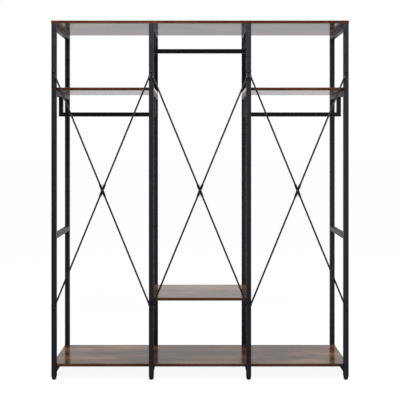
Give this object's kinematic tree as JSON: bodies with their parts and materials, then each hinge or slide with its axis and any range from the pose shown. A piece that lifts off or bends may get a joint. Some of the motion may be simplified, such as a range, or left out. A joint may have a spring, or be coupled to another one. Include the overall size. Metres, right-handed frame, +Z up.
{
  "type": "clothes rack",
  "caption": "Open clothes rack of square tube with a long top shelf, side shelves, a low centre shelf and a base shelf, garment rails below, crossed braces behind and levelling feet.",
  "frame": {"origin": "on the floor, under the middle of the rack's bounding box, braces included", "axes": "+Z up, +X along the rack and to the right as seen from the braced side, +Y from the braced side to the open side"},
  "size_m": [1.5, 0.412, 1.81],
  "materials": {
    "frame_steel": "satin black powder coat",
    "boards": "dark brown wood-grain melamine, smooth and fairly glossy",
    "brace_rod": "satin black powder coat",
    "fasteners": "blackened",
    "feet": "matt black"
  },
  "bodies": {
    "rack": {"back_post_1": "frame_steel", "back_post_2": "frame_steel", "back_post_3": "frame_steel", "back_post_4": "frame_steel", "front_post_1": "frame_steel", "front_post_2": "frame_steel", "front_post_3": "frame_steel", "front_post_4": "frame_steel", "top_bar_1": "frame_steel", "top_bar_2": "frame_steel", "top_bar_3": "frame_steel", "top_bar_4": "frame_steel", "shelf_bar_1": "frame_steel", "shelf_bar_2": "frame_steel", "shelf_bar_3": "frame_steel", "shelf_bar_4": "frame_steel", "side_rung_1": "frame_steel", "side_rung_4": "frame_steel", "centre_bar_2": "frame_steel", "centre_bar_3": "frame_steel", "bottom_bar_1": "frame_steel", "bottom_bar_2": "frame_steel", "bottom_bar_3": "frame_steel", "bottom_bar_4": "frame_steel", "top_board": "boards", "left_shelf": "boards", "right_shelf": "boards", "centre_shelf": "boards", "bottom_board": "boards", "left_rail": "frame_steel", "centre_rail": "frame_steel", "right_rail": "frame_steel", "left_brace_falling": "brace_rod", "left_brace_rising": "brace_rod", "centre_brace_falling": "brace_rod", "centre_brace_rising": "brace_rod", "right_brace_falling": "brace_rod", "right_brace_rising": "brace_rod", "brace_screw_low_1": "fasteners", "brace_screw_low_2": "fasteners", "brace_screw_low_3": "fasteners", "brace_screw_low_4": "fasteners", "brace_screw_high_1": "fasteners", "brace_screw_high_2": "fasteners", "brace_screw_high_3": "fasteners", "brace_screw_high_4": "fasteners", "left_crossing_screw": "fasteners", "centre_crossing_screw": "fasteners", "right_crossing_screw": "fasteners", "left_crossing_nut": "fasteners", "centre_crossing_nut": "fasteners", "right_crossing_nut": "fasteners"},
    "back_foot_1": {"back_foot_1": "feet"},
    "back_foot_2": {"back_foot_2": "feet"},
    "back_foot_3": {"back_foot_3": "feet"},
    "back_foot_4": {"back_foot_4": "feet"},
    "front_foot_1": {"front_foot_1": "feet"},
    "front_foot_2": {"front_foot_2": "feet"},
    "front_foot_3": {"front_foot_3": "feet"},
    "front_foot_4": {"front_foot_4": "feet"}
  },
  "joints": [
    {"name": "back_foot_1_slide", "type": "slide", "parent": "rack", "child": "back_foot_1", "axis": [0, 0, -1], "range_m": [0, 0.01]},
    {"name": "back_foot_2_slide", "type": "slide", "parent": "rack", "child": "back_foot_2", "axis": [0, 0, -1], "range_m": [0, 0.01]},
    {"name": "back_foot_3_slide", "type": "slide", "parent": "rack", "child": "back_foot_3", "axis": [0, 0, -1], "range_m": [0, 0.01]},
    {"name": "back_foot_4_slide", "type": "slide", "parent": "rack", "child": "back_foot_4", "axis": [0, 0, -1], "range_m": [0, 0.01]},
    {"name": "front_foot_1_slide", "type": "slide", "parent": "rack", "child": "front_foot_1", "axis": [0, 0, -1], "range_m": [0, 0.01]},
    {"name": "front_foot_2_slide", "type": "slide", "parent": "rack", "child": "front_foot_2", "axis": [0, 0, -1], "range_m": [0, 0.01]},
    {"name": "front_foot_3_slide", "type": "slide", "parent": "rack", "child": "front_foot_3", "axis": [0, 0, -1], "range_m": [0, 0.01]},
    {"name": "front_foot_4_slide", "type": "slide", "parent": "rack", "child": "front_foot_4", "axis": [0, 0, -1], "range_m": [0, 0.01]}
  ]
}
